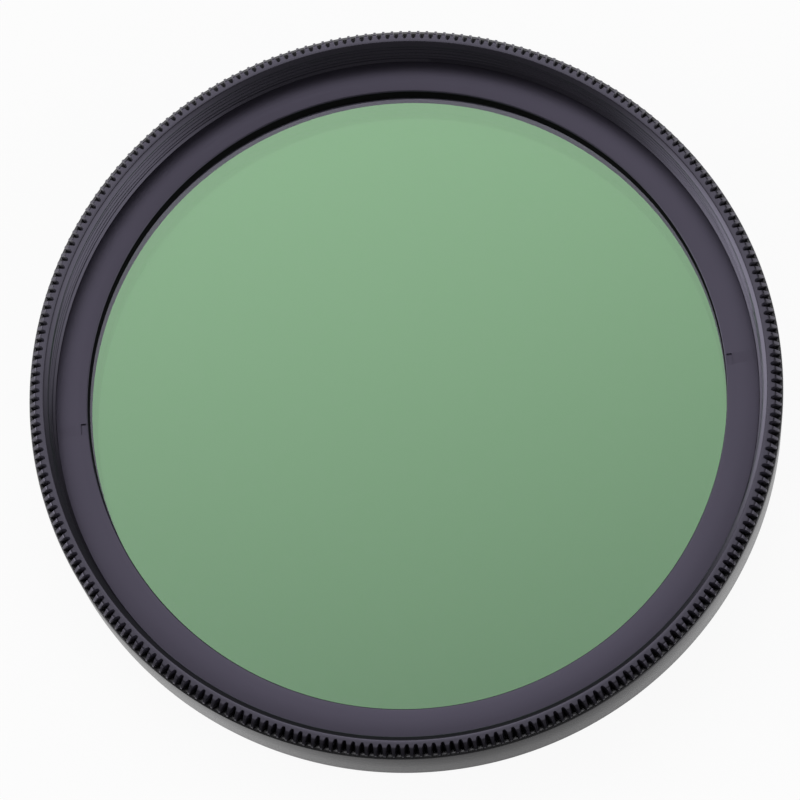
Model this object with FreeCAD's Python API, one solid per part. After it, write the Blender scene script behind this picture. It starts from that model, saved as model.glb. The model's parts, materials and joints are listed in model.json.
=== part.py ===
import FreeCAD, Part
import math
import os

# Graduated filter in a rotating screw-in mount, in millimetres.
# The axis is Z. The filter lies on the end of its male thread at Z = 0, with its front face up.

# Lens thread behind and accessory thread in front, each drawn as a plain cylinder at its crest
THREAD_DIAMETER = 58.0
THREAD_DEPTH = 0.40

# Rear ring: male thread, web and plain side band
MALE_THREAD_LENGTH = 2.40
WEB_THICKNESS = 0.80
BAND_HEIGHT = 5.85
BAND_WALL = 0.90

# Front ring: sleeve that runs in the rear ring, knurled flange and bevelled rim
SLEEVE_WALL = 0.30
KNURL_SET_BACK = 0.12
KNURL_STRAIGHT_LENGTH = 0.40
KNURL_COUNT = 263
KNURL_DEPTH = 0.75
RIM_BEVEL_HEIGHT = 0.60
RIM_MOUTH_CHAMFER = 0.40

# Glass and the cell that holds it
GLASS_THICKNESS = 2.00
GLASS_EDGE_CLEARANCE = 0.08
SEAT_WIDTH = 0.45
SEAT_THICKNESS = 0.70
CELL_WALL = 0.50
CELL_DROP = 0.70

# Retaining ring, whose width sets the clear aperture, and its two spanner notches
RETAINER_WIDTH = 2.35
RETAINER_OVERLAP = 1.10
RETAINER_THICKNESS = 1.55
RETAINER_LEDGE = 0.40
RETAINER_CLEARANCE = 0.05
RETAINER_FLOOR_GAP = 0.20
THREAD_ABOVE_RETAINER = 0.10
NOTCH_LENGTH = 0.90
NOTCH_WIDTH = 0.45
NOTCH_DEPTH = 0.20
NOTCH_EDGE_DISTANCE = 0.15
NOTCH_ANGLE = 173.0

# Split wire that keeps the two rings together
WIRE_SIZE = 0.50
WIRE_IN_BAND = 0.25
WIRE_SEAT_CLEARANCE = 0.02
WIRE_RUNNING_CLEARANCE = 0.12
WIRE_GAP_ANGLE = 5.0

# Running clearances between the two rings
RUNNING_CLEARANCE = 0.05
SEAM_GAP = 0.10
CELL_CLEARANCE = 0.30

# How far a cut runs past the faces that it opens
OVERCUT = 1.0

# Radii, from the thread outwards
thread_crest = THREAD_DIAMETER / 2
thread_bore = thread_crest - THREAD_DEPTH
sleeve_radius = thread_crest + SLEEVE_WALL
band_bore = sleeve_radius + RUNNING_CLEARANCE
band_radius = band_bore + BAND_WALL
knurl_radius = band_radius - KNURL_SET_BACK
knurl_root = knurl_radius - KNURL_DEPTH
rim_mouth_radius = thread_bore + RIM_MOUTH_CHAMFER
retainer_bore = thread_bore - RETAINER_LEDGE
retainer_radius = retainer_bore - RETAINER_CLEARANCE
aperture_radius = retainer_radius - RETAINER_WIDTH

# Radii, from the aperture outwards
cell_bore = aperture_radius + RETAINER_OVERLAP
seat_bore = cell_bore - SEAT_WIDTH
cell_radius = cell_bore + CELL_WALL
rear_bore = cell_radius + CELL_CLEARANCE
glass_radius = cell_bore - GLASS_EDGE_CLEARANCE

# Heights, from the end of the male thread upwards
shoulder_z = MALE_THREAD_LENGTH
web_top_z = shoulder_z + WEB_THICKNESS
band_top_z = shoulder_z + BAND_HEIGHT
sleeve_end_z = web_top_z + SEAM_GAP
flange_z = band_top_z + SEAM_GAP
knurl_top_z = flange_z + KNURL_STRAIGHT_LENGTH
rim_z = knurl_top_z + RIM_BEVEL_HEIGHT
glass_seat_z = sleeve_end_z - CELL_DROP
cell_end_z = glass_seat_z - SEAT_THICKNESS
glass_front_z = glass_seat_z + GLASS_THICKNESS
cell_floor_z = glass_front_z - RETAINER_FLOOR_GAP
retainer_top_z = glass_front_z + RETAINER_THICKNESS
thread_foot_z = retainer_top_z + THREAD_ABOVE_RETAINER
ledge_z = thread_foot_z - RETAINER_LEDGE

# The ring's upper edge flares at 45 degrees over the ledge
flare_radius = retainer_radius + retainer_top_z - ledge_z

# The wire lies half way up the solid foot of the sleeve
wire_z = (sleeve_end_z + cell_floor_z) / 2
wire_outer = band_bore + WIRE_IN_BAND
wire_inner = wire_outer - WIRE_SIZE
rebate_radius = wire_outer + WIRE_SEAT_CLEARANCE
rebate_top_z = wire_z + WIRE_SIZE / 2 + WIRE_SEAT_CLEARANCE
groove_radius = wire_inner - WIRE_RUNNING_CLEARANCE
groove_half = WIRE_SIZE / 2 + WIRE_RUNNING_CLEARANCE

ORIGIN = FreeCAD.Vector(0, 0, 0)
AXIS = FreeCAD.Vector(0, 0, 1)


def flat_face(corners):
    """A flat face with straight edges through the corners."""
    return Part.Face(Part.makePolygon(corners + corners[:1]))


def turned(section, angle=360):
    """Turn a closed section, given as (radius, height) corners, round the axis."""
    corners = [FreeCAD.Vector(radius, 0, height) for radius, height in section]
    return flat_face(corners).revolve(ORIGIN, AXIS, angle)


def around(shape, angle):
    """A copy of a shape, turned round the axis."""
    copy = shape.copy()
    copy.rotate(ORIGIN, AXIS, angle)
    return copy


def at(radius, angle, height):
    """The point at a radius, an angle in degrees and a height."""
    turn = math.radians(angle)
    return FreeCAD.Vector(radius * math.cos(turn), radius * math.sin(turn), height)


def rear_ring():
    """Plain side band on a web, with the male thread below and a rebate for the wire inside."""
    return turned([
        (rear_bore, 0),
        (thread_crest, 0),
        (thread_crest, shoulder_z),
        (band_radius, shoulder_z),
        (band_radius, band_top_z),
        (band_bore, band_top_z),
        (band_bore, rebate_top_z),
        (rebate_radius, rebate_top_z),
        (rebate_radius, web_top_z),
        (rear_bore, web_top_z),
    ])


def knurled_flange():
    """Disc with straight V grooves round its edge, which run up the bevel to the flat of the rim."""
    step = 360 / KNURL_COUNT
    foot = []
    faces = []
    rim = []
    for tooth in range(KNURL_COUNT):
        tip_foot = at(knurl_radius, tooth * step, flange_z)
        tip_top = at(knurl_radius, tooth * step, knurl_top_z)
        root_foot = at(knurl_root, (tooth + 0.5) * step, flange_z)
        root_top = at(knurl_root, (tooth + 0.5) * step, rim_z)
        last_foot = at(knurl_root, (tooth - 0.5) * step, flange_z)
        last_top = at(knurl_root, (tooth - 0.5) * step, rim_z)
        faces.append(flat_face([last_foot, tip_foot, tip_top, last_top]))
        faces.append(flat_face([tip_foot, root_foot, root_top, tip_top]))
        faces.append(flat_face([tip_top, root_top, last_top]))
        foot.extend([tip_foot, root_foot])
        rim.append(root_top)
    faces.extend([flat_face(foot[::-1]), flat_face(rim)])
    return Part.Solid(Part.makeShell(faces))


def front_ring():
    """Knurled flange and rim, sleeve with the accessory thread, and the cell for the glass."""
    sleeve = turned([
        (0, cell_end_z),
        (cell_radius, cell_end_z),
        (cell_radius, sleeve_end_z),
        (sleeve_radius, sleeve_end_z),
        (sleeve_radius, wire_z - groove_half),
        (groove_radius, wire_z - groove_half),
        (groove_radius, wire_z + groove_half),
        (sleeve_radius, wire_z + groove_half),
        (sleeve_radius, flange_z),
        (0, flange_z),
    ])
    hollow = turned([
        (0, cell_end_z - OVERCUT),
        (seat_bore, cell_end_z - OVERCUT),
        (seat_bore, glass_seat_z),
        (cell_bore, glass_seat_z),
        (cell_bore, cell_floor_z),
        (retainer_bore, cell_floor_z),
        (retainer_bore, ledge_z),
        (thread_bore, thread_foot_z),
        (thread_bore, rim_z - RIM_MOUTH_CHAMFER),
        (rim_mouth_radius + OVERCUT, rim_z + OVERCUT),
        (0, rim_z + OVERCUT),
    ])
    return sleeve.fuse(knurled_flange()).cut(hollow)


def retaining_ring():
    """Ring that holds the glass down, flared over the ledge, with two blind notches for a spanner."""
    blank = turned([
        (aperture_radius, glass_front_z),
        (retainer_radius, glass_front_z),
        (retainer_radius, ledge_z),
        (flare_radius, retainer_top_z),
        (aperture_radius, retainer_top_z),
    ])
    notch_radius = aperture_radius + NOTCH_EDGE_DISTANCE
    corner = FreeCAD.Vector(notch_radius, -NOTCH_LENGTH / 2, retainer_top_z - NOTCH_DEPTH)
    notch = Part.makeBox(NOTCH_WIDTH, NOTCH_LENGTH, NOTCH_DEPTH, corner)
    return blank.cut([around(notch, NOTCH_ANGLE), around(notch, NOTCH_ANGLE + 180)])


def filter_glass():
    """Flat glass disc, seated in the cell."""
    return Part.makeCylinder(glass_radius, GLASS_THICKNESS, AXIS * glass_seat_z)


def retaining_wire():
    """Split square wire that springs out into the rear ring's rebate."""
    return turned([
        (wire_inner, wire_z - WIRE_SIZE / 2),
        (wire_outer, wire_z - WIRE_SIZE / 2),
        (wire_outer, wire_z + WIRE_SIZE / 2),
        (wire_inner, wire_z + WIRE_SIZE / 2),
    ], 360 - WIRE_GAP_ANGLE)


os.makedirs("parts", exist_ok=True)
for make_piece in (rear_ring, front_ring, retaining_ring, filter_glass, retaining_wire):
    make_piece().exportStep(os.path.join("parts", make_piece.__name__ + ".step"))
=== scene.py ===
"""Looks of a graduated filter in a rotating screw-in mount, built round its solids."""

import json
import math

import bmesh
import bpy
from mathutils import Matrix, Vector


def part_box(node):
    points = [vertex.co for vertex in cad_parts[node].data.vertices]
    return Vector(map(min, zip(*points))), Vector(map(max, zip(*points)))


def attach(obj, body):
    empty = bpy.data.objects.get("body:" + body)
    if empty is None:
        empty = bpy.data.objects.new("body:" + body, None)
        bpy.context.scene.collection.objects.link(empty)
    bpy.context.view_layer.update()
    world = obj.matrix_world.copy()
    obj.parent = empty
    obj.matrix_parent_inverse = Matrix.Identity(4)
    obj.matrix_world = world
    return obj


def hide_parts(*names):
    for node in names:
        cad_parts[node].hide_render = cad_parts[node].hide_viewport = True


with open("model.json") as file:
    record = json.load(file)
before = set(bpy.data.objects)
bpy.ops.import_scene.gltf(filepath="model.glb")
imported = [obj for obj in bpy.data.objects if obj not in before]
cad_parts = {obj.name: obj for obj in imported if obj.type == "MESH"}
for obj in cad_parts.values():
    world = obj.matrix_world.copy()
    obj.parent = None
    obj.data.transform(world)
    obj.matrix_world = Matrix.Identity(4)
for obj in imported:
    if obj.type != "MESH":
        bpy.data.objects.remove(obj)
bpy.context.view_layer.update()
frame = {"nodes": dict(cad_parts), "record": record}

bl_info = {
    "name": "Graduated filter",
    "version": (1, 0, 0),
    "blender": (4, 5, 0),
    "location": "View3D > Sidebar > Filter",
    "description": "Builds a graduated filter in a rotating screw-in mount",
    "category": "Add Mesh",
}

MM = 0.001

# Width of the camera's sensor in its own millimetres, and how near and far it sees in metres
SENSOR_WIDTH = 36
SEES_FROM = 0.01
SEES_TO = 10

# Corners of the solids, which the pieces are built on
REAR_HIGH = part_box("rear_ring")[1]
FRONT_LOW, FRONT_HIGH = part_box("front_ring")
RETAINER_LOW, RETAINER_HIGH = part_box("retaining_ring")
GLASS_LOW, GLASS_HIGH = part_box("filter_glass")
WIRE_LOW, WIRE_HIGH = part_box("retaining_wire")

# The threads, from the mounts
MOUNTS = {mount["name"]: mount for mount in frame["record"]["mounts"]}
MALE_CREST = MOUNTS["rear_thread"]["dims"]["r_mm"] * MM
MALE_LENGTH = MOUNTS["rear_thread"]["dims"]["length_mm"] * MM
FEMALE_BORE = MOUNTS["front_thread"]["dims"]["r_mm"] * MM
FEMALE_LENGTH = MOUNTS["front_thread"]["dims"]["length_mm"] * MM
FEMALE_MIDDLE = MOUNTS["front_thread"]["pos_m"][2]

# How finely round shapes are divided
REAR_SEGMENTS = 480
GLASS_SEGMENTS = 256
SEGMENTS_PER_TOOTH = 2
ROUNDING_STEPS = 3
ROWS_PER_PITCH = 16
SHARP_ANGLE = math.radians(25)
WELD_DISTANCE = 0.001 * MM

# Inner end of a knurl groove: where it is divided, and how pointed it is, from 0 for square to 1 for a V
GROOVE_END_STEPS = (0, 0.05, 0.20, 0.50)
GROOVE_POINT = 0.30

# Where a thread's flank starts and ends, from the middle of the root, as shares of half a pitch
FLANK_START = 0.2
FLANK_END = 0.85

# Sizes of the lines, grain and patches in the finishes
FINE_LINES = 0.05 * MM
BAND_LINES = 0.18 * MM
WIRE_LINES = 0.03 * MM
LINE_SLOPE = 0.06
GRAIN_SIZE = 0.03 * MM
DYE_PATCH = 6 * MM
STAIN_PATCH = 2 * MM
HAZE_PATCH = 9 * MM
FLOOR_PATCH = 80 * MM

# The part of its range that a noise mostly lies in, and that of the noise in the dye
NOISE_RANGE = (0.3, 0.7)
DYE_RANGE = (0.35, 0.65)

# How much of the noise in the dye and in the surface comes from the turning lines
LINES_IN_DYE = 0.4
LINES_IN_SURFACE = 0.6

# How far the dye and the paint get darker and lighter than their tone, and how dark the wire's stain is
DYE_SPREAD = 0.15
PAINT_SPREAD = 0.3
STAIN_DARK = 0.8

# Roughness of the polished glass and of the drawn wire, and how uneven the satin is
GLASS_ROUGHNESS = (0.02, 0.05)
WIRE_ROUGHNESS = (0.25, 0.4)
SATIN_SPREAD = 0.05

# How sharply the coating mirrors more at a flat angle
GRAZING_POWER = 5.0

# Where the side windows lie from the filter
LEFT_WINDOW = Vector((-0.95, 0.27, 0.10))
RIGHT_WINDOW = Vector((0.85, -0.46, 0.26))

# How far round its middle a window reaches: cosines of the angles at its edge and at its full light
MAIN_REACH = (0.88, 0.99)
LEFT_REACH = (0.75, 0.95)
RIGHT_REACH = (0.80, 0.95)


def length(name, description, millimetres):
    """A property that holds a length."""
    return bpy.props.FloatProperty(
        name=name, description=description, default=millimetres * MM, min=0,
        precision=5, subtype="DISTANCE", unit="LENGTH")


def colour(name, description, value):
    """A property that holds a colour, in linear light."""
    return bpy.props.FloatVectorProperty(
        name=name, description=description, default=value, size=3, min=0, max=1,
        subtype="COLOR")


def share(name, description, value):
    """A property that holds a number from 0 to 1."""
    return bpy.props.FloatProperty(
        name=name, description=description, default=value, min=0, max=1, subtype="FACTOR")


def level(name, description, value):
    """A property that holds a brightness or a gain."""
    return bpy.props.FloatProperty(name=name, description=description, default=value, min=0)


def angle(name, description, degrees):
    """A property that holds an angle."""
    return bpy.props.FloatProperty(
        name=name, description=description, default=math.radians(degrees),
        subtype="ANGLE", unit="ROTATION")


class MountSizes(bpy.types.PropertyGroup):
    """Sizes of the two rings of the mount."""

    knurl_count: bpy.props.IntProperty(
        name="Knurl teeth", description="Teeth round the front rim", default=263, min=3)
    groove_width: length("Groove width", "Width of a knurl groove at the outside", 0.56)
    groove_length: length("Groove length", "From the knurled side to a groove's inner end, on top", 0.90)
    groove_depth: length("Groove depth", "From the knurled side to a groove's root, at its foot", 0.72)
    bevel_width: length("Bevel width", "Of the bevel round the rim, seen from above", 0.47)
    bevel_height: length("Bevel height", "Of the bevel round the rim", 0.60)
    mouth_chamfer: length("Mouth chamfer", "Width of the chamfer into the accessory thread", 0.36)
    mouth_drop: length("Mouth drop", "Height of the chamfer into the accessory thread", 0.30)
    thread_pitch: length("Thread pitch", "Pitch of both filter threads", 0.75)
    thread_depth: length("Thread depth", "From crest to root of the threads", 0.30)
    thread_run_out: length("Thread run-out", "Over which a thread fades at its ends", 0.30)
    lead_in: length("Lead-in", "Chamfer at the end of the male thread", 0.30)
    wire_lead_width: length("Wire lead width", "Of the chamfer that leads the wire into the band", 0.66)
    wire_lead_drop: length("Wire lead drop", "Height of the chamfer that leads the wire in", 0.21)
    edge_break: length("Edge break", "Rounding of the turned edges", 0.12)
    band_edge: length("Band edge", "Rounding of the plain band's upper edge", 0.20)
    seam_gap: length("Seam gap", "Between the plain band and the knurled flange", 0.10)
    band_wall: length("Band wall", "Wall of the plain side band", 0.90)
    sleeve_wall: length("Sleeve wall", "From the thread crest to the sleeve's outside", 0.30)
    web_thickness: length("Web thickness", "Floor of the rear ring", 0.80)
    running_gap: length("Running gap", "Between the sleeve and the band", 0.05)
    wire_gap: length("Wire gap", "Round the wire in the sleeve's groove", 0.12)
    cell_gap: length("Cell gap", "Between the glass cell and the rear ring", 0.30)


class CellSizes(bpy.types.PropertyGroup):
    """Sizes of the glass cell and of the ring that holds the glass."""

    aperture: length("Aperture", "Radius of the clear opening", 25.80)
    overlap: length("Overlap", "Of the retaining ring over the cell", 1.10)
    seat_width: length("Seat width", "Ledge under the edge of the glass", 0.45)
    seat_chamfer: length("Seat chamfer", "Chamfer below the ledge", 0.40)
    cell_wall: length("Cell wall", "Wall round the glass", 0.50)
    floor_gap: length("Floor gap", "Below the retaining ring", 0.20)
    ledge: length("Ledge", "Step from the thread to the retaining ring's bore", 0.40)
    ring_gap: length("Ring gap", "Round the retaining ring", 0.05)
    ring_fall: length("Ring fall", "Of the retaining ring's face, towards its outside", 0.08)
    black_film: length("Black film", "Paint on the retaining ring's inner wall", 0.01)
    ring_edge: length("Ring edge", "Rounding of the retaining ring's edges", 0.14)
    notch_length: length("Notch length", "Spanner notch, round the ring", 0.90)
    notch_width: length("Notch width", "Spanner notch, across the ring", 0.45)
    notch_depth: length("Notch depth", "Depth of the spanner notches", 0.20)
    notch_edge: length("Notch edge", "From the opening to the notches", 0.15)
    notch_angle: angle("Notch angle", "Where the first notch lies, from +X", 173)
    glass_edge: length("Glass edge", "Chamfer of the glass", 0.15)


class FinishSettings(bpy.types.PropertyGroup):
    """Colours and gloss of the finishes."""

    rear_black: colour("Rear ring", "Satin black of the plain band", (0.010, 0.0095, 0.011))
    front_black: colour("Front ring", "Satin black of the knurled ring", (0.008, 0.0075, 0.009))
    retainer_black: colour("Retaining ring", "Black with a violet cast", (0.018, 0.016, 0.022))
    rear_gloss: colour("Rear gloss", "Tint of what the plain band mirrors", (0.70, 0.69, 0.73))
    front_gloss: colour("Front gloss", "Tint of what the knurled ring mirrors", (0.79, 0.74, 0.97))
    retainer_gloss: colour("Retainer gloss", "Tint of what the retaining ring mirrors",
                           (0.79, 0.72, 1.0))
    edge_black: colour("Blackened edge", "Dead matt paint round the opening", (0.005, 0.0045, 0.0055))
    steel: colour("Spring steel", "Drawn wire", (0.46, 0.45, 0.44))
    coating: colour("Coating", "What the coating mirrors of white", (0.385, 0.865, 0.34))
    clear_grey: colour("Clear side", "What the lightest part of the glass lets through",
                       (0.51, 0.495, 0.555))
    dense_grey: colour("Dense side", "What the darkest part of the glass lets through",
                       (0.41, 0.42, 0.45))
    coating_share: share("Coating share", "What the coating mirrors, seen head on", 0.30)
    band_satin: share("Band satin", "Roughness of the rear ring", 0.24)
    satin: share("Satin", "Roughness of the knurled ring", 0.30)
    matt: share("Matt", "Roughness of the retaining ring", 0.36)
    index: bpy.props.FloatProperty(
        name="Index", description="Refractive index of the sealed oxide", default=2.15, min=1)
    gradient_angle: angle("Gradient angle", "Towards the clear side, from +X", 96.5)


class StageSettings(bpy.types.PropertyGroup):
    """Where the camera stands, and the light."""

    distance: length("Distance", "From the camera to the point that it looks at", 353.0)
    aim_height: length("Aim height", "Height on the axis of the point that it looks at", 8.30)
    tilt: angle("Tilt", "Of the view from straight above", 15.95)
    turn: angle("Turn", "Of the picture round the line of sight", 12.97)
    lens: bpy.props.FloatProperty(
        name="Lens", description="Focal length on a 36 mm sensor", default=198.4, min=1,
        subtype="DISTANCE_CAMERA")
    shift_x: bpy.props.FloatProperty(
        name="Shift X", description="Lens shift across", default=-0.0054)
    shift_y: bpy.props.FloatProperty(
        name="Shift Y", description="Lens shift up", default=-0.0164)
    floor_width: length("Floor width", "Side of the square floor", 3000)
    low_light: level("Low light", "Brightness of the room away from its windows", 0.10)
    main_light: level("Main light", "Brightness of the window overhead", 1.30)
    left_light: level("Left light", "Brightness of the window at the left", 2.0)
    right_light: level("Right light", "Brightness of the window at the right", 1.0)
    main_lean: angle("Main lean", "Of the main window from straight above, towards +Y", 34)
    matt_gain: level("Matt gain", "Light on matt surfaces, against what is mirrored", 2.4)
    floor_dark: share("Floor dark", "Darkest patches of the floor", 0.93)
    floor_pale: share("Floor pale", "Palest patches of the floor", 0.96)
    floor_glow: share("Floor glow", "How far the floor shows plain white to the camera", 0.93)
    # The floor's painted shade in gloss: pale beside the filter, dark towards the viewer
    gloss_pale: share("Gloss pale", "What the floor shows in gloss beside the filter", 0.75)
    gloss_dark: share("Gloss dark", "What the floor shows in gloss towards the viewer", 0.05)
    shade_start: length("Shade start", "From the axis towards -Y, where the floor darkens in gloss", 22)
    shade_end: length("Shade end", "From the axis towards -Y, where the floor is dark in gloss", 40)


# Turned shapes

def rounded(corners):
    """A section through (radius, height, rounding) corners, with arcs at the rounded ones."""
    points = []
    for index, (radius, height, rounding) in enumerate(corners):
        here = Vector((radius, height))
        if rounding == 0:
            points.append(here)
            continue
        before = Vector(corners[index - 1][:2])
        after = Vector(corners[(index + 1) % len(corners)][:2])
        start = here + (before - here).normalized() * rounding
        end = here + (after - here).normalized() * rounding
        for step in range(ROUNDING_STEPS + 1):
            part = step / ROUNDING_STEPS
            points.append(start.lerp(here, part).lerp(here.lerp(end, part), part))
    return points


def with_thread_rows(section, radius, pitch):
    """The section with enough rows for a thread on its straight wall at the radius."""
    finer = []
    for point, following in zip(section, section[1:] + section[:1]):
        finer.append(point)
        if max(abs(point.x - radius), abs(following.x - radius)) < WELD_DISTANCE:
            count = round(abs(following.y - point.y) / pitch * ROWS_PER_PITCH)
            finer.extend(point.lerp(following, row / count) for row in range(1, count))
    return finer


def turn_section(section, segments, closed):
    """A mesh of the section turned round Z; an open section leaves its two ends open."""
    mesh = bmesh.new()
    rows = []
    for point in section:
        row = []
        for segment in range(segments):
            turn = 2 * math.pi * segment / segments
            row.append(mesh.verts.new((point.x * math.cos(turn), point.x * math.sin(turn), point.y)))
        rows.append(row)
    pairs = list(zip(rows, rows[1:]))
    if closed:
        pairs.append((rows[-1], rows[0]))
    for lower, upper in pairs:
        for segment in range(segments):
            after = (segment + 1) % segments
            mesh.faces.new((lower[segment], lower[after], upper[after], upper[segment]))
    return mesh


def new_piece(name, mesh):
    """An object at the origin that holds a bmesh."""
    data = bpy.data.meshes.new(name)
    mesh.to_mesh(data)
    mesh.free()
    piece = bpy.data.objects.new(name, data)
    bpy.context.scene.collection.objects.link(piece)
    return piece


def mark_thread(piece, radius, start, end, run_out):
    """Store on each point how deep the thread is cut there: 1 along it, 0 at its ends."""
    cut = piece.data.attributes.new("thread_cut", "FLOAT", "POINT")
    for index, vertex in enumerate(piece.data.vertices):
        inside = min(vertex.co.z - start, end - vertex.co.z) / run_out
        if abs(vertex.co.xy.length - radius) < WELD_DISTANCE:
            cut.data[index].value = min(max(inside, 0), 1)


def finish_piece(piece, material, body):
    """Give a piece its finish, and let it ride on a body."""
    piece.data.materials.clear()
    piece.data.materials.append(material)
    piece.data.shade_smooth()
    piece.data.set_sharp_from_angle(angle=SHARP_ANGLE)
    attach(piece, body)


# Node trees

def add_node(tree, kind, inputs=None, **settings):
    """Add a node with its settings, and give each named input a value or a link."""
    made = tree.nodes.new(kind)
    for key, value in settings.items():
        setattr(made, key, value)
    for key, value in (inputs or {}).items():
        if isinstance(value, bpy.types.NodeSocket):
            tree.links.new(value, made.inputs[key])
        else:
            made.inputs[key].default_value = value
    return made


def maths(tree, operation, first, second=0.0, third=0.0):
    """The output of a maths node."""
    kind = "ShaderNodeMath"
    return add_node(tree, kind, {0: first, 1: second, 2: third}, operation=operation).outputs[0]


def span(tree, value, start, end, low, high):
    """The output of a clamped map from start..end to low..high."""
    kind = "ShaderNodeMapRange"
    inputs = {"Value": value, "From Min": start, "From Max": end, "To Min": low, "To Max": high}
    return add_node(tree, kind, inputs).outputs[0]


def shape_tree(name, numbers):
    """An empty geometry tree with a shape, named numbers and a material as its inputs."""
    tree = bpy.data.node_groups.new(name, "GeometryNodeTree")
    tree.interface.new_socket("Shape", in_out="INPUT", socket_type="NodeSocketGeometry")
    for number, kind in numbers.items():
        tree.interface.new_socket(number, in_out="INPUT", socket_type=kind)
    tree.interface.new_socket("Material", in_out="INPUT", socket_type="NodeSocketMaterial")
    tree.interface.new_socket("Shape", in_out="OUTPUT", socket_type="NodeSocketGeometry")
    return tree, tree.nodes.new("NodeGroupInput")


def end_tree(tree, shape, entry):
    """Realize a tree's shape, give it the material and hand it out."""
    realized = add_node(tree, "GeometryNodeRealizeInstances", {"Geometry": shape})
    inputs = {"Geometry": realized.outputs[0], "Material": entry.outputs["Material"]}
    finished = add_node(tree, "GeometryNodeSetMaterial", inputs)
    add_node(tree, "NodeGroupOutput", {"Shape": finished.outputs[0]})
    return tree


def knurl_tree():
    """Repeat one tooth round Z, and weld the teeth to each other."""
    tree, entry = shape_tree("Knurled rim", {"Teeth": "NodeSocketInt"})
    teeth = entry.outputs["Teeth"]
    line = add_node(tree, "GeometryNodeMeshLine", {"Count": teeth, "Offset": (0, 0, 0)})
    index = add_node(tree, "GeometryNodeInputIndex").outputs[0]
    step = maths(tree, "DIVIDE", 2 * math.pi, teeth)
    turn = add_node(tree, "ShaderNodeCombineXYZ", {"Z": maths(tree, "MULTIPLY", index, step)})
    placed = add_node(tree, "GeometryNodeInstanceOnPoints", {
        "Points": line.outputs[0],
        "Instance": entry.outputs["Shape"],
        "Rotation": turn.outputs[0],
    })
    joined = add_node(tree, "GeometryNodeRealizeInstances", {"Geometry": placed.outputs[0]})
    welded = add_node(tree, "GeometryNodeMergeByDistance", {
        "Geometry": joined.outputs[0],
        "Distance": WELD_DISTANCE,
    })
    return end_tree(tree, welded.outputs[0], entry)


def thread_tree():
    """Cut a screw thread into the wall that carries thread_cut; a negative depth cuts outwards."""
    numbers = {"Pitch": "NodeSocketFloat", "Depth": "NodeSocketFloat"}
    tree, entry = shape_tree("Screw thread", numbers)
    place = add_node(tree, "GeometryNodeInputPosition").outputs[0]
    parts = add_node(tree, "ShaderNodeSeparateXYZ", {0: place})
    turns = maths(tree, "DIVIDE", maths(tree, "ARCTAN2", parts.outputs["Y"], parts.outputs["X"]),
                  2 * math.pi)
    climb = maths(tree, "DIVIDE", parts.outputs["Z"], entry.outputs["Pitch"])
    phase = maths(tree, "FLOORED_MODULO", maths(tree, "SUBTRACT", climb, turns), 1.0)
    from_root = maths(tree, "ABSOLUTE", maths(tree, "MULTIPLY_ADD", phase, 2.0, -1.0))
    profile = span(tree, from_root, FLANK_START, FLANK_END, 1.0, 0.0)
    cut = add_node(tree, "GeometryNodeInputNamedAttribute", {"Name": "thread_cut"}).outputs[0]
    depth = maths(tree, "MULTIPLY", maths(tree, "MULTIPLY", profile, cut), entry.outputs["Depth"])
    flat = add_node(tree, "ShaderNodeCombineXYZ", {"X": parts.outputs["X"], "Y": parts.outputs["Y"]})
    outward = add_node(tree, "ShaderNodeVectorMath", {0: flat.outputs[0]}, operation="NORMALIZE")
    offset = add_node(tree, "ShaderNodeVectorMath", {
        0: outward.outputs[0],
        "Scale": maths(tree, "MULTIPLY", depth, -1.0),
    }, operation="SCALE")
    moved = add_node(tree, "GeometryNodeSetPosition", {
        "Geometry": entry.outputs["Shape"],
        "Offset": offset.outputs[0],
    })
    plain = add_node(tree, "GeometryNodeRemoveAttribute", {
        "Geometry": moved.outputs[0],
        "Name": "thread_cut",
    })
    return end_tree(tree, plain.outputs[0], entry)


def run_tree(piece, tree, **values):
    """Run a geometry tree on a piece, and keep the result as its plain mesh."""
    modifier = piece.modifiers.new(tree.name, "NODES")
    modifier.node_group = tree
    for item in tree.interface.items_tree:
        if item.in_out == "INPUT" and item.name in values:
            modifier[item.identifier] = values[item.name]
    keep_result(piece)


def keep_result(piece):
    """Replace a piece's mesh by what its modifiers make of it, and remove them."""
    evaluated = piece.evaluated_get(bpy.context.evaluated_depsgraph_get())
    result = bpy.data.meshes.new_from_object(evaluated)
    piece.modifiers.clear()
    first = piece.data
    piece.data = result
    bpy.data.meshes.remove(first)


# Finishes

def new_material(name):
    """An empty material, its tree and the output node."""
    material = bpy.data.materials.new(name)
    material.use_nodes = True
    tree = material.node_tree
    tree.nodes.clear()
    return material, tree, tree.nodes.new("ShaderNodeOutputMaterial")


def places(tree):
    """The object's own coordinates, and its (radius, height) with no angle, for turned lines."""
    place = add_node(tree, "ShaderNodeTexCoord").outputs["Object"]
    flat = add_node(tree, "ShaderNodeVectorMath", {0: place, 1: (1, 1, 0)}, operation="MULTIPLY")
    radius = add_node(tree, "ShaderNodeVectorMath", {0: flat.outputs[0]}, operation="LENGTH")
    height = add_node(tree, "ShaderNodeSeparateXYZ", {0: place}).outputs["Z"]
    section = add_node(tree, "ShaderNodeCombineXYZ", {"X": radius.outputs["Value"], "Y": height})
    return place, section.outputs[0]


def noise(tree, place, size, detail=2.0):
    """Noise whose patches are about the given size across."""
    inputs = {"Vector": place, "Scale": 1 / size, "Detail": detail}
    return add_node(tree, "ShaderNodeTexNoise", inputs).outputs["Fac"]


def between(tree, factor, first, second):
    """The colour between two colours, by a factor."""
    inputs = {"Factor": factor, "A": (*first, 1), "B": (*second, 1)}
    return add_node(tree, "ShaderNodeMix", inputs, data_type="RGBA").outputs["Result"]


def scaled(tone, factor):
    """A colour made darker or lighter."""
    return [part * factor for part in tone]


def uneven_tone(tree, factor, tone, spread):
    """The colour from a little darker than its tone to a little lighter, by a factor."""
    return between(tree, factor, scaled(tone, 1 - spread), scaled(tone, 1 + spread))


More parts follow.
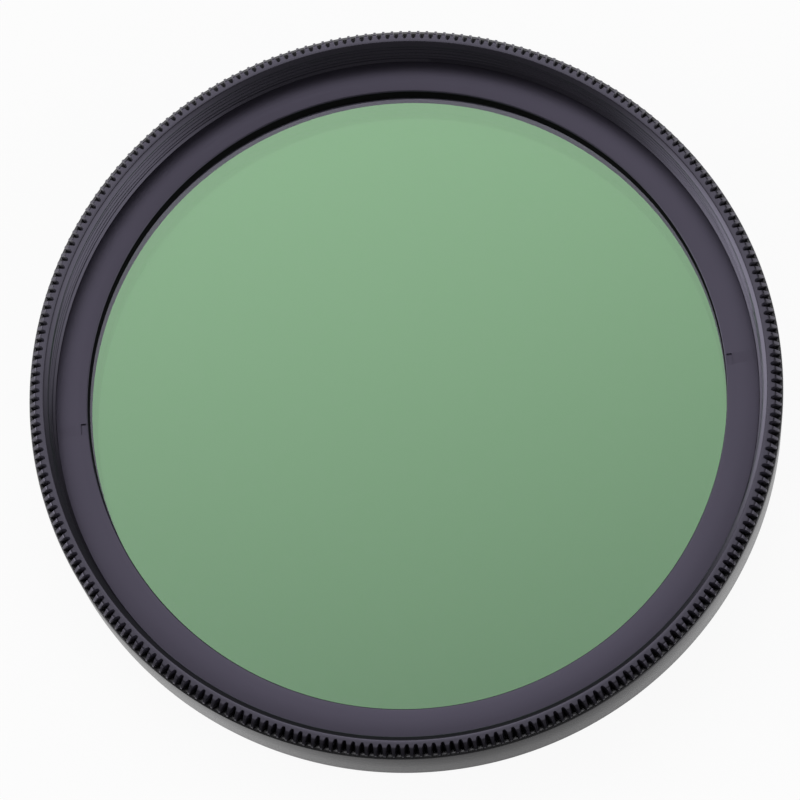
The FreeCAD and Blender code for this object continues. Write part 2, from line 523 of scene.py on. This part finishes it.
def summed(tree, first, weight, second):
    """Two noises added, the first by its weight and the second by the rest."""
    rest = maths(tree, "MULTIPLY", second, 1 - weight)
    return maths(tree, "ADD", maths(tree, "MULTIPLY", first, weight), rest)


def anodised(name, tone, gloss, roughness, index, line_size):
    """Satin anodised metal with fine turning lines, a grain and slightly uneven dye."""
    material, tree, output = new_material(name)
    place, section = places(tree)
    lines = noise(tree, section, line_size)
    grain = noise(tree, place, GRAIN_SIZE)
    dye = noise(tree, place, DYE_PATCH)
    uneven = span(tree, summed(tree, lines, LINES_IN_DYE, dye), *DYE_RANGE, 0.0, 1.0)
    surface = summed(tree, lines, LINES_IN_SURFACE, grain)
    low, high = roughness - SATIN_SPREAD, roughness + SATIN_SPREAD
    bump = add_node(tree, "ShaderNodeBump", {
        "Strength": 0.6,
        "Distance": LINE_SLOPE * line_size,
        "Height": surface,
    })
    shader = add_node(tree, "ShaderNodeBsdfPrincipled", {
        "Base Color": uneven_tone(tree, uneven, tone, DYE_SPREAD),
        "Roughness": span(tree, surface, *NOISE_RANGE, low, high),
        "IOR": index,
        "Specular Tint": (*gloss, 1),
        "Normal": bump.outputs[0],
    })
    tree.links.new(shader.outputs[0], output.inputs["Surface"])
    return material


def matt_paint(tone):
    """Dead matt black paint with a fine grain."""
    material, tree, output = new_material("matt_paint")
    place = add_node(tree, "ShaderNodeTexCoord").outputs["Object"]
    grain = noise(tree, place, GRAIN_SIZE)
    shader = add_node(tree, "ShaderNodeBsdfPrincipled", {
        "Base Color": uneven_tone(tree, grain, tone, PAINT_SPREAD),
        "Roughness": 0.9,
        "Specular IOR Level": 0.1,
    })
    tree.links.new(shader.outputs[0], output.inputs["Surface"])
    return material


def coated_glass(finish):
    """Graduated grey glass under a coating that mirrors green."""
    material, tree, output = new_material("coated_glass")
    place = add_node(tree, "ShaderNodeTexCoord").outputs["Object"]
    turned = add_node(tree, "ShaderNodeMapping", {
        "Vector": place,
        "Rotation": (0, 0, -finish.gradient_angle),
    })
    along = add_node(tree, "ShaderNodeSeparateXYZ", {0: turned.outputs[0]}).outputs["X"]
    reach = GLASS_HIGH.x
    clearness = span(tree, along, -reach, reach, 0.0, 1.0)
    grey = between(tree, clearness, finish.dense_grey, finish.clear_grey)
    through = add_node(tree, "ShaderNodeBsdfTransparent", {"Color": grey})
    haze = noise(tree, place, HAZE_PATCH)
    mirror = add_node(tree, "ShaderNodeBsdfPrincipled", {
        "Base Color": (*finish.coating, 1),
        "Metallic": 1.0,
        "Roughness": span(tree, haze, *NOISE_RANGE, *GLASS_ROUGHNESS),
    })
    facing = add_node(tree, "ShaderNodeLayerWeight", {"Blend": 0.5}).outputs["Facing"]
    rise = maths(tree, "POWER", facing, GRAZING_POWER)
    head_on = finish.coating_share
    factor = maths(tree, "MULTIPLY_ADD", rise, 1 - head_on, head_on)
    both = add_node(tree, "ShaderNodeMixShader", {
        0: factor,
        1: through.outputs[0],
        2: mirror.outputs[0],
    })
    tree.links.new(both.outputs[0], output.inputs["Surface"])
    return material


def drawn_steel(tone):
    """Bright drawn wire with lines along it."""
    material, tree, output = new_material("drawn_steel")
    place, section = places(tree)
    lines = noise(tree, section, WIRE_LINES)
    stain = noise(tree, place, STAIN_PATCH)
    shader = add_node(tree, "ShaderNodeBsdfPrincipled", {
        "Base Color": between(tree, stain, scaled(tone, STAIN_DARK), tone),
        "Metallic": 1.0,
        "Roughness": span(tree, lines, *NOISE_RANGE, *WIRE_ROUGHNESS),
    })
    tree.links.new(shader.outputs[0], output.inputs["Surface"])
    return material


# Pieces

class FILTER_OT_rear_ring(bpy.types.Operator):
    """Turn the rear ring, with its plain band and male thread"""

    bl_idname = "graduated_filter.rear_ring"
    bl_label = "Rear ring"

    def execute(self, context):
        mount = context.scene.mount_sizes
        cell = context.scene.cell_sizes
        finish = context.scene.finish_settings
        band = REAR_HIGH.x
        band_bore = band - mount.band_wall
        web_top = MALE_LENGTH + mount.web_thickness
        rebate = WIRE_HIGH.x + mount.running_gap / 2
        rebate_top = WIRE_HIGH.z + mount.running_gap / 2
        bore = cell.aperture + cell.overlap + cell.cell_wall + mount.cell_gap
        edge = mount.edge_break
        section = rounded([
            (bore, 0, edge),
            (MALE_CREST - mount.lead_in, 0, 0),
            (MALE_CREST, mount.lead_in, 0),
            (MALE_CREST, MALE_LENGTH, 0),
            (band, MALE_LENGTH, edge),
            (band, REAR_HIGH.z, mount.band_edge),
            (band_bore + mount.wire_lead_width, REAR_HIGH.z, 0),
            (band_bore, REAR_HIGH.z - mount.wire_lead_drop, 0),
            (band_bore, rebate_top, 0),
            (rebate, rebate_top, 0),
            (rebate, web_top, 0),
            (bore, web_top, 0),
        ])
        section = with_thread_rows(section, MALE_CREST, mount.thread_pitch)
        mesh = turn_section(section, REAR_SEGMENTS, closed=True)
        bmesh.ops.recalc_face_normals(mesh, faces=mesh.faces)
        piece = new_piece("rear_mount_ring", mesh)
        mark_thread(piece, MALE_CREST, 0, MALE_LENGTH, mount.thread_run_out)
        black = anodised("rear_anodised", finish.rear_black, finish.rear_gloss,
                         finish.band_satin, finish.index, BAND_LINES)
        run_tree(piece, thread_tree(), Pitch=mount.thread_pitch, Depth=mount.thread_depth,
                 Material=black)
        finish_piece(piece, black, "rear")
        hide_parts("rear_ring")
        return {"FINISHED"}


def knurl_tooth(mount, sleeve, mouth, foot_z):
    """One tooth between two tapered grooves, with its share of the rim's flat and of the underside."""
    half_step = math.pi / mount.knurl_count
    outer, rim_z = FRONT_HIGH.x, FRONT_HIGH.z
    tip = outer - mount.groove_length
    flat_end = outer - mount.bevel_width
    bevel_foot = rim_z - mount.bevel_height
    root_top = Vector((tip, rim_z))
    root_foot = Vector((outer - mount.groove_depth, bevel_foot))
    ridge = rounded([(tip + (flat_end - tip) * part, rim_z, 0) for part in GROOVE_END_STEPS] + [
        (flat_end, rim_z, mount.edge_break),
        (outer, bevel_foot, mount.edge_break),
        (outer, foot_z, 0),
    ])
    mesh = bmesh.new()

    def at(radius, turn, height):
        """A new point of the tooth."""
        return mesh.verts.new((radius * math.cos(turn), radius * math.sin(turn), height))

    rim = [at(mouth, turn, rim_z) for turn in (half_step, 0, -half_step)]
    inner = [at(sleeve, turn, foot_z) for turn in (-half_step, 0, half_step)]
    left, right, left_root, right_root = [], [], [], []
    for step, point in enumerate(ridge):
        reach = max(point.x - tip, 0) / (outer - tip)
        edge = half_step - mount.groove_width / 2 * reach ** GROOVE_POINT / point.x
        left.append(at(point.x, -edge, point.y))
        right.append(at(point.x, edge, point.y))
        root = root_top.lerp(root_foot, min(step / (len(ridge) - 2), 1))
        height = root.y if step < len(ridge) - 1 else foot_z
        left_root.append(at(root.x, -half_step, height))
        right_root.append(at(root.x, half_step, height))

    mesh.faces.new((*rim, left[0], right[0]))
    for step in range(len(ridge) - 1):
        after = step + 1
        mesh.faces.new((left[step], left[after], right[after], right[step]))
        mesh.faces.new((left_root[step], left_root[after], left[after], left[step]))
        mesh.faces.new((right[step], right[after], right_root[after], right_root[step]))
    mesh.faces.new((*inner, right_root[-1], right[-1], left[-1], left_root[-1]))
    return mesh


class FILTER_OT_front_ring(bpy.types.Operator):
    """Knurl the front rim, and turn its bore, sleeve and glass cell"""

    bl_idname = "graduated_filter.front_ring"
    bl_label = "Front ring"

    def execute(self, context):
        mount = context.scene.mount_sizes
        cell = context.scene.cell_sizes
        finish = context.scene.finish_settings
        thread_foot = FEMALE_MIDDLE - FEMALE_LENGTH / 2
        thread_top = FEMALE_MIDDLE + FEMALE_LENGTH / 2
        sleeve = MALE_CREST + mount.sleeve_wall
        rim_z = FRONT_HIGH.z
        edge = mount.edge_break / 2
        mouth = FEMALE_BORE + mount.mouth_chamfer
        flange_z = REAR_HIGH.z + mount.seam_gap
        retainer_bore = FEMALE_BORE - cell.ledge
        cell_bore = cell.aperture + cell.overlap
        seat_bore = cell_bore - cell.seat_width
        cell_outer = cell_bore + cell.cell_wall
        floor_z = GLASS_HIGH.z - cell.floor_gap
        sleeve_end = MALE_LENGTH + mount.web_thickness + mount.seam_gap
        wire_size = WIRE_HIGH.z - WIRE_LOW.z
        wire_mid = (WIRE_LOW.z + WIRE_HIGH.z) / 2
        groove_half = wire_size / 2 + mount.wire_gap
        groove_foot = -WIRE_LOW.x - wire_size - mount.wire_gap
        black = anodised("front_anodised", finish.front_black, finish.front_gloss,
                         finish.satin, finish.index, FINE_LINES)

        knurl = new_piece("front_knurled_ring", knurl_tooth(mount, sleeve, mouth + edge, flange_z))
        run_tree(knurl, knurl_tree(), Teeth=mount.knurl_count, Material=black)

        section = rounded([
            (mouth + edge, rim_z, 0),
            (mouth, rim_z, edge),
            (FEMALE_BORE, rim_z - mount.mouth_drop, edge),
            (FEMALE_BORE, thread_foot, 0),
            (retainer_bore, thread_foot - cell.ledge, 0),
            (retainer_bore, floor_z, 0),
            (cell_bore, floor_z, 0),
            (cell_bore, GLASS_LOW.z, 0),
            (seat_bore, GLASS_LOW.z, 0),
            (seat_bore, FRONT_LOW.z + cell.seat_chamfer, 0),
            (seat_bore + cell.seat_chamfer, FRONT_LOW.z, 0),
            (cell_outer, FRONT_LOW.z, edge),
            (cell_outer, sleeve_end, 0),
            (sleeve, sleeve_end, edge),
            (sleeve, wire_mid - groove_half, 0),
            (groove_foot, wire_mid - groove_half, 0),
            (groove_foot, wire_mid + groove_half, 0),
            (sleeve, wire_mid + groove_half, 0),
            (sleeve, flange_z, 0),
        ])
        section = with_thread_rows(section, FEMALE_BORE, mount.thread_pitch)
        segments = mount.knurl_count * SEGMENTS_PER_TOOTH
        shell = new_piece("bore", turn_section(section, segments, closed=False))
        mark_thread(shell, FEMALE_BORE, thread_foot, thread_top, mount.thread_run_out)
        run_tree(shell, thread_tree(), Pitch=mount.thread_pitch, Depth=-mount.thread_depth,
                 Material=black)

        joined = bmesh.new()
        joined.from_mesh(knurl.data)
        joined.from_mesh(shell.data)
        bmesh.ops.remove_doubles(joined, verts=joined.verts, dist=WELD_DISTANCE)
        bmesh.ops.recalc_face_normals(joined, faces=joined.faces)
        joined.to_mesh(knurl.data)
        joined.free()
        bpy.data.meshes.remove(shell.data)
        finish_piece(knurl, black, "front")
        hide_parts("front_ring")
        return {"FINISHED"}


class FILTER_OT_retaining_ring(bpy.types.Operator):
    """Turn the ring that holds the glass, cut its spanner notches and blacken its inner edge"""

    bl_idname = "graduated_filter.retaining_ring"
    bl_label = "Retaining ring"

    def execute(self, context):
        cell = context.scene.cell_sizes
        finish = context.scene.finish_settings
        low, high, flare = RETAINER_LOW.z, RETAINER_HIGH.z, RETAINER_HIGH.x
        outer = FEMALE_BORE - cell.ledge - cell.ring_gap
        section = rounded([
            (cell.aperture, low, 0),
            (outer, low, 0),
            (outer, high - (flare - outer), 0),
            (flare - cell.ring_fall, high - cell.ring_fall, 0),
            (cell.aperture, high, cell.ring_edge),
        ])
        mesh = turn_section(section, REAR_SEGMENTS, closed=True)
        bmesh.ops.recalc_face_normals(mesh, faces=mesh.faces)
        piece = new_piece("glass_retainer", mesh)
        black = anodised("retainer_anodised", finish.retainer_black, finish.retainer_gloss,
                         finish.matt, finish.index, FINE_LINES)

        cutter = bmesh.new()
        middle = cell.aperture + cell.notch_edge + cell.notch_width / 2
        size = Matrix.Diagonal((cell.notch_width, cell.notch_length, 2 * cell.notch_depth, 1))
        for side in (0, math.pi):
            turn = Matrix.Rotation(cell.notch_angle + side, 4, "Z")
            place = Matrix.Translation((middle, 0, high))
            bmesh.ops.create_cube(cutter, size=1, matrix=turn @ place @ size)
        notches = new_piece("notches", cutter)
        modifier = piece.modifiers.new("Notches", "BOOLEAN")
        modifier.object = notches
        modifier.operation = "DIFFERENCE"
        modifier.solver = "EXACT"
        keep_result(piece)
        bpy.data.meshes.remove(notches.data)
        finish_piece(piece, black, "front")
        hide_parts("retaining_ring")

        film = cell.aperture - cell.black_film
        section = [Vector(point) for point in (
            (cell.aperture, low), (cell.aperture, high - cell.ring_edge),
            (film, high - cell.ring_edge), (film, low))]
        mesh = turn_section(section, REAR_SEGMENTS, closed=True)
        bmesh.ops.recalc_face_normals(mesh, faces=mesh.faces)
        edge = new_piece("blackened_edge", mesh)
        finish_piece(edge, matt_paint(finish.edge_black), "front")
        return {"FINISHED"}


class FILTER_OT_glass(bpy.types.Operator):
    """Make the graduated, coated glass disc"""

    bl_idname = "graduated_filter.glass"
    bl_label = "Glass"

    def execute(self, context):
        cell = context.scene.cell_sizes
        finish = context.scene.finish_settings
        low, high, radius = GLASS_LOW.z, GLASS_HIGH.z, GLASS_HIGH.x
        edge = cell.glass_edge
        section = [Vector(point) for point in (
            (radius - edge, low), (radius, low + edge), (radius, high - edge), (radius - edge, high))]
        mesh = turn_section(section, GLASS_SEGMENTS, closed=False)
        bmesh.ops.holes_fill(mesh, edges=mesh.edges, sides=GLASS_SEGMENTS)
        bmesh.ops.recalc_face_normals(mesh, faces=mesh.faces)
        piece = new_piece("graduated_glass", mesh)
        finish_piece(piece, coated_glass(finish), "front")
        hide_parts("filter_glass")
        return {"FINISHED"}


class FILTER_OT_wire(bpy.types.Operator):
    """Give the hidden retaining wire its drawn steel"""

    bl_idname = "graduated_filter.wire"
    bl_label = "Retaining wire"

    def execute(self, context):
        wire = frame["nodes"]["retaining_wire"]
        wire.data.materials.clear()
        wire.data.materials.append(drawn_steel(context.scene.finish_settings.steel))
        return {"FINISHED"}


# Stage

def pale_floor(stage):
    """Pale matt floor that keeps the shadow; in gloss it glows with a painted shade that darkens towards
    the viewer.
    """
    material, tree, output = new_material("pale_floor")
    path = add_node(tree, "ShaderNodeLightPath").outputs
    mirrored = maths(tree, "MAXIMUM", path["Is Glossy Ray"], path["Is Transmission Ray"])
    shown = maths(tree, "MULTIPLY", path["Is Camera Ray"], stage.floor_glow)
    place = add_node(tree, "ShaderNodeTexCoord").outputs["Object"]
    along = add_node(tree, "ShaderNodeSeparateXYZ", {0: place}).outputs["Y"]
    # Painted shade: in gloss the floor's glow is painted darker towards -Y, in place of a shadow on that
    # side
    painted_shade = span(tree, along, -stage.shade_end, -stage.shade_start, stage.gloss_dark, stage.gloss_pale)
    tone = maths(tree, "MAXIMUM", path["Is Camera Ray"], painted_shade)
    patches = noise(tree, place, FLOOR_PATCH)
    pale = between(tree, patches, [stage.floor_dark] * 3, [stage.floor_pale] * 3)
    matt = add_node(tree, "ShaderNodeBsdfDiffuse", {"Color": pale})
    white = add_node(tree, "ShaderNodeEmission", {"Color": tone, "Strength": 1.0})
    both = add_node(tree, "ShaderNodeMixShader", {
        0: maths(tree, "MAXIMUM", shown, mirrored),
        1: matt.outputs[0],
        2: white.outputs[0],
    })
    tree.links.new(both.outputs[0], output.inputs["Surface"])
    return material


def window(tree, towards, middle, reach, full_light):
    """Soft light from round a direction, from nothing at its edge to its full light."""
    near = add_node(tree, "ShaderNodeVectorMath", {
        0: towards,
        1: middle.normalized(),
    }, operation="DOT_PRODUCT")
    return span(tree, near.outputs["Value"], *reach, 0.0, full_light)


def light_room(scene, stage):
    """A dim room with a large soft window overhead and two at the sides."""
    world = bpy.data.worlds.new("studio_room")
    world.use_nodes = True
    tree = world.node_tree
    background = tree.nodes["Background"]
    towards = add_node(tree, "ShaderNodeTexCoord").outputs["Generated"]
    main = Vector((0, math.sin(stage.main_lean), math.cos(stage.main_lean)))
    windows = (
        (main, MAIN_REACH, stage.main_light),
        (LEFT_WINDOW, LEFT_REACH, stage.left_light),
        (RIGHT_WINDOW, RIGHT_REACH, stage.right_light),
    )
    light = stage.low_light
    for middle, reach, full_light in windows:
        light = maths(tree, "ADD", light, window(tree, towards, middle, reach, full_light))
    path = add_node(tree, "ShaderNodeLightPath").outputs
    gain = span(tree, path["Is Diffuse Ray"], 0.0, 1.0, 1.0, stage.matt_gain)
    room = maths(tree, "MULTIPLY", light, gain)
    seen = add_node(tree, "ShaderNodeMix", {
        "Factor": path["Is Camera Ray"],
        "A": room,
        "B": 1.0,
    }).outputs["Result"]
    background.inputs["Color"].default_value = (1, 1, 1, 1)
    tree.links.new(seen, background.inputs["Strength"])
    scene.world = world


class FILTER_OT_stage(bpy.types.Operator):
    """Lay the floor, light it and set up the camera"""

    bl_idname = "graduated_filter.stage"
    bl_label = "Stage"

    def execute(self, context):
        scene = context.scene
        stage = scene.stage_settings
        scene.view_settings.view_transform = "Standard"
        light_room(scene, stage)

        mesh = bmesh.new()
        bmesh.ops.create_grid(mesh, x_segments=1, y_segments=1, size=stage.floor_width / 2)
        floor = new_piece("floor", mesh)
        floor.data.materials.append(pale_floor(stage))

        aim = Vector((0, 0, stage.aim_height))
        back = Vector((0, -math.sin(stage.tilt), math.cos(stage.tilt)))
        camera = bpy.data.objects.new("camera", bpy.data.cameras.new("camera"))
        camera.location = aim + back * stage.distance
        upright = Matrix.Rotation(stage.tilt, 4, "X")
        camera.rotation_euler = (upright @ Matrix.Rotation(-stage.turn, 4, "Z")).to_euler()
        camera.data.sensor_width = SENSOR_WIDTH
        camera.data.lens = stage.lens
        camera.data.shift_x = stage.shift_x
        camera.data.shift_y = stage.shift_y
        camera.data.clip_start = SEES_FROM
        camera.data.clip_end = SEES_TO
        scene.collection.objects.link(camera)
        scene.camera = camera
        return {"FINISHED"}


class FILTER_PT_panel(bpy.types.Panel):
    """Lists the pieces and their settings"""

    bl_idname = "FILTER_PT_panel"
    bl_label = "Graduated filter"
    bl_space_type = "VIEW_3D"
    bl_region_type = "UI"
    bl_category = "Filter"

    def draw(self, context):
        for piece in OPERATORS:
            self.layout.operator(piece.bl_idname)
        for name in SETTINGS:
            settings = getattr(context.scene, name)
            box = self.layout.box()
            for key in settings.bl_rna.properties.keys():
                if key not in ("rna_type", "name"):
                    box.prop(settings, key)


OPERATORS = (
    FILTER_OT_rear_ring,
    FILTER_OT_front_ring,
    FILTER_OT_retaining_ring,
    FILTER_OT_glass,
    FILTER_OT_wire,
    FILTER_OT_stage,
)
SETTINGS = {
    "mount_sizes": MountSizes,
    "cell_sizes": CellSizes,
    "finish_settings": FinishSettings,
    "stage_settings": StageSettings,
}
CLASSES = (*SETTINGS.values(), *OPERATORS, FILTER_PT_panel)


def register():
    for kind in CLASSES:
        bpy.utils.register_class(kind)
    for name, kind in SETTINGS.items():
        setattr(bpy.types.Scene, name, bpy.props.PointerProperty(type=kind))


def unregister():
    for name in SETTINGS:
        delattr(bpy.types.Scene, name)
    for kind in reversed(CLASSES):
        bpy.utils.unregister_class(kind)


def main():
    register()
    bpy.ops.graduated_filter.rear_ring()
    bpy.ops.graduated_filter.front_ring()
    bpy.ops.graduated_filter.retaining_ring()
    bpy.ops.graduated_filter.glass()
    bpy.ops.graduated_filter.wire()
    bpy.ops.graduated_filter.stage()
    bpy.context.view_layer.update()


if __name__ == "__main__":
    main()
